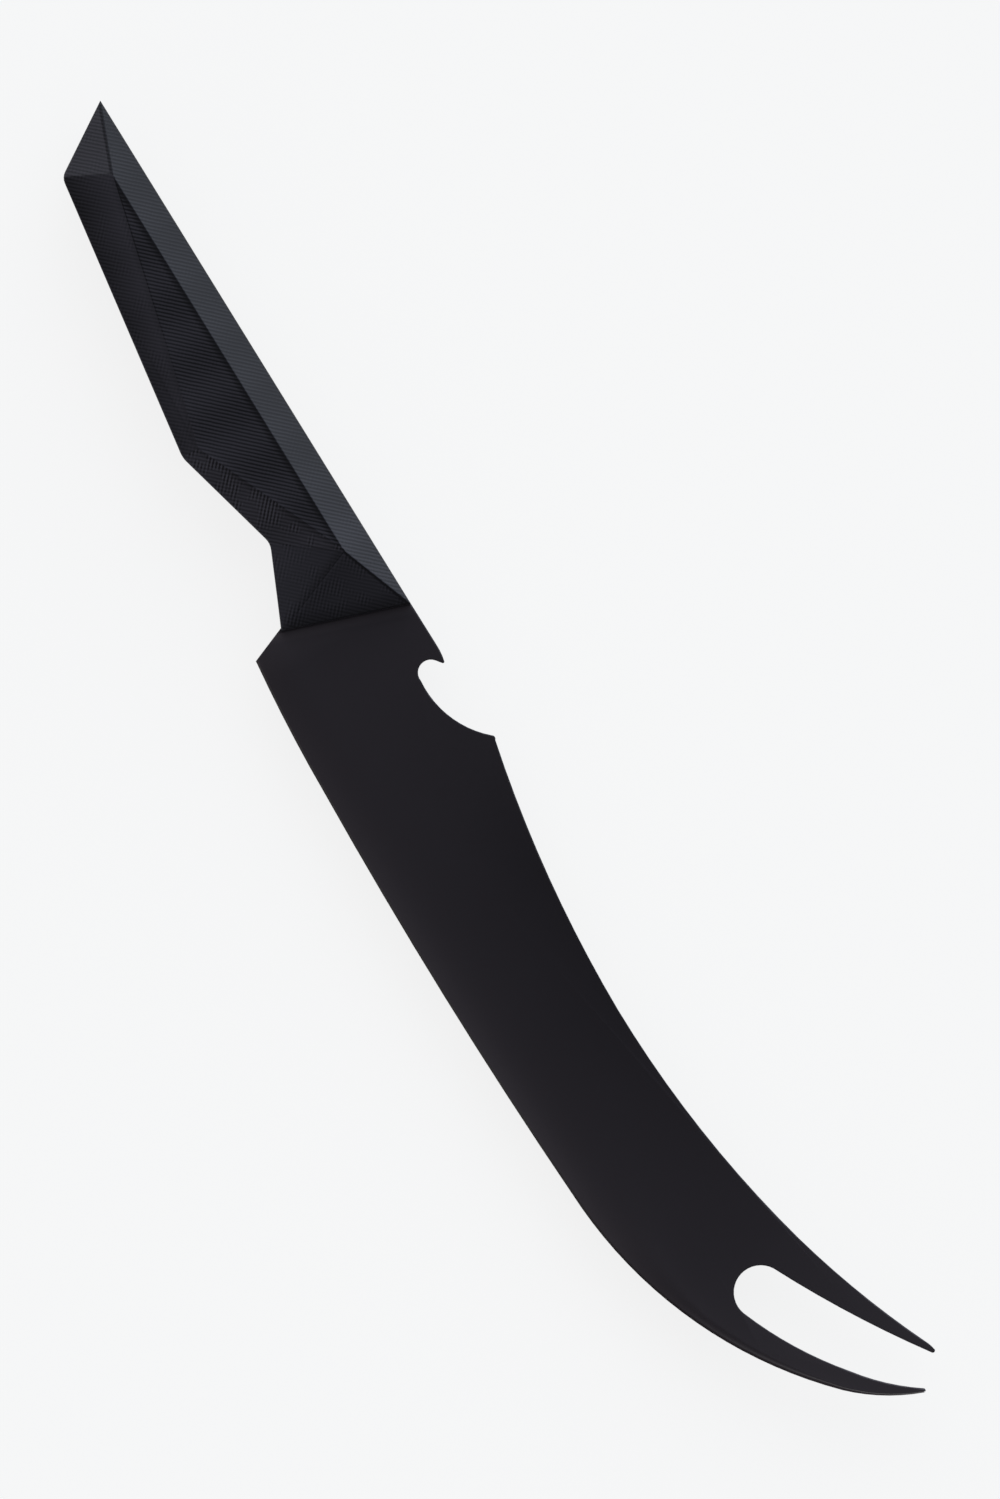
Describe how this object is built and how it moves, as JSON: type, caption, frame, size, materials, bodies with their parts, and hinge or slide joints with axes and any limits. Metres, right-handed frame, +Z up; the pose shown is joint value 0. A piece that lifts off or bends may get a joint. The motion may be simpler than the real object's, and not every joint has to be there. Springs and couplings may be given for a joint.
{
  "type": "barbecue knife",
  "caption": "Barbecue knife: broad slicing blade with a forked serving tip and a bottle-opener notch in its spine, on a faceted full-tang handle.",
  "frame": {"origin": "middle of the underside of the knife's bounding box as it lies on its left side with the blade level", "axes": "+X from the pommel to the fork along the straight spine of the handle, +Y from the cutting edge to the spine, +Z up out of the knife's right side"},
  "size_m": [0.3306, 0.05, 0.0189],
  "materials": {
    "black_coating": "satin black coating on blade steel",
    "black_laminate": "machined matt glass-cloth laminate",
    "pin_steel": "plain ground pin"
  },
  "bodies": {
    "root": {"blade": "black_coating", "right_scale": "black_laminate", "left_scale": "black_laminate", "front_pin": "pin_steel", "middle_pin": "pin_steel", "rear_pin": "pin_steel"}
  },
  "joints": []
}
